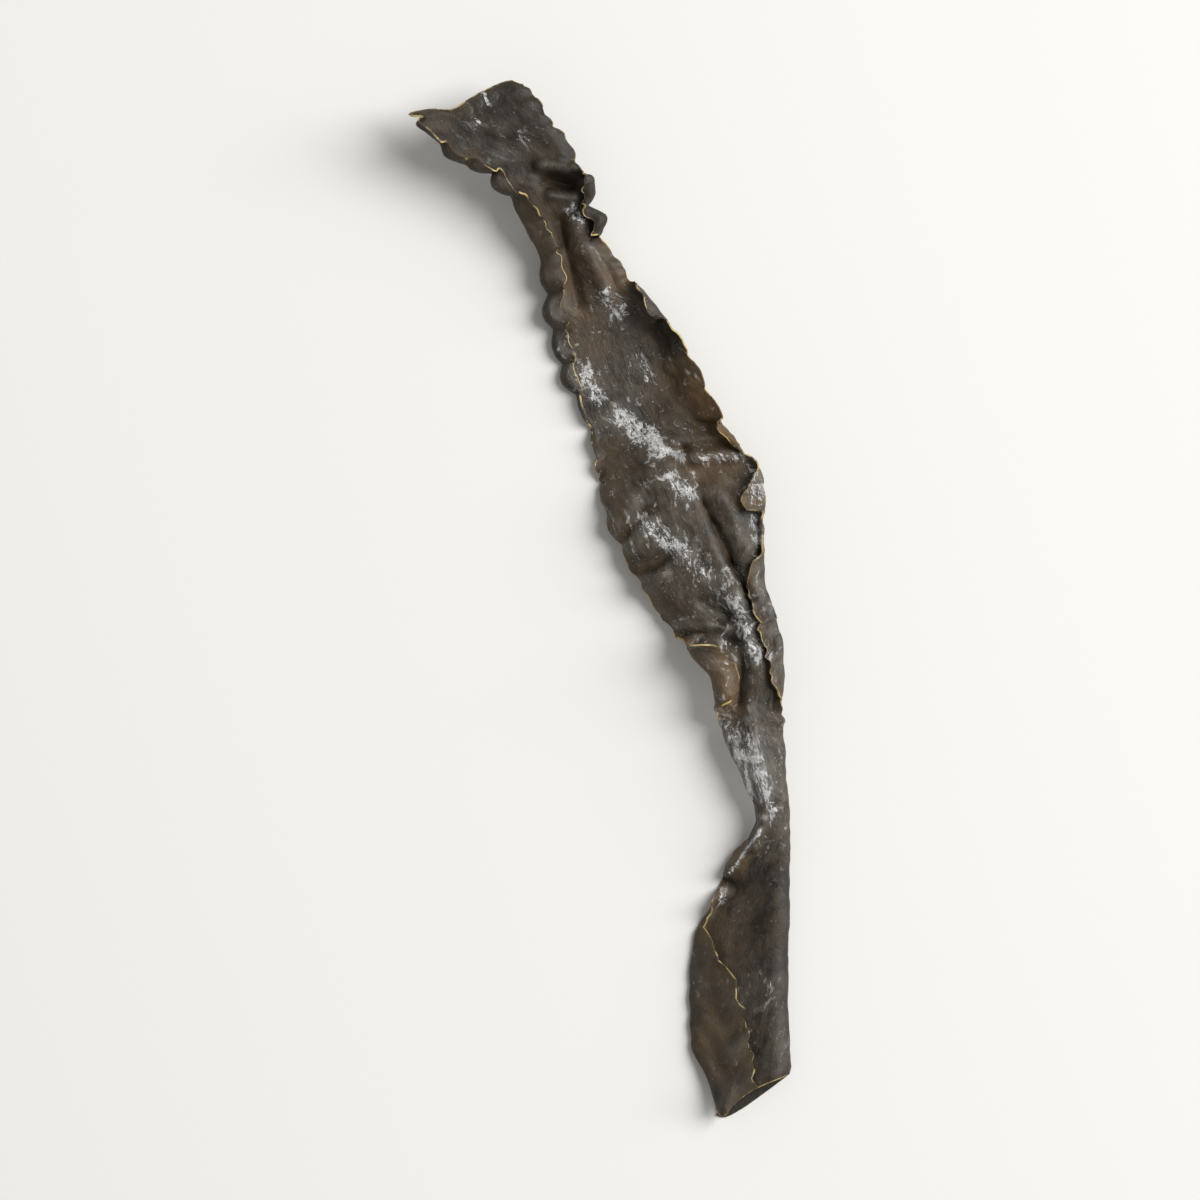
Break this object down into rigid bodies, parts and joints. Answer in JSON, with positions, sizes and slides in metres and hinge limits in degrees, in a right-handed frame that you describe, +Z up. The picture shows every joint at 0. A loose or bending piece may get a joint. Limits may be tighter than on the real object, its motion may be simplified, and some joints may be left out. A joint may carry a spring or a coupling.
{
  "type": "dried kelp strip",
  "caption": "Dried kelp strip: one thin leathery blade with ruffled, curled margins, a torn, raised head and a tail folded into a flat roll with a slanting cut.",
  "frame": {"origin": "centre of the strip's outline seen from above, on the surface that it lies on", "axes": "+Y along the strip towards its torn head, +Z up, +X to the right of the head"},
  "size_m": [0.1253, 0.3409, 0.026],
  "materials": {
    "kelp": "dry, leathery brown-grey skin with a faint sheen, pale bloom and amber edges"
  },
  "bodies": {
    "root": {"kelp_strip": "kelp"}
  },
  "joints": []
}
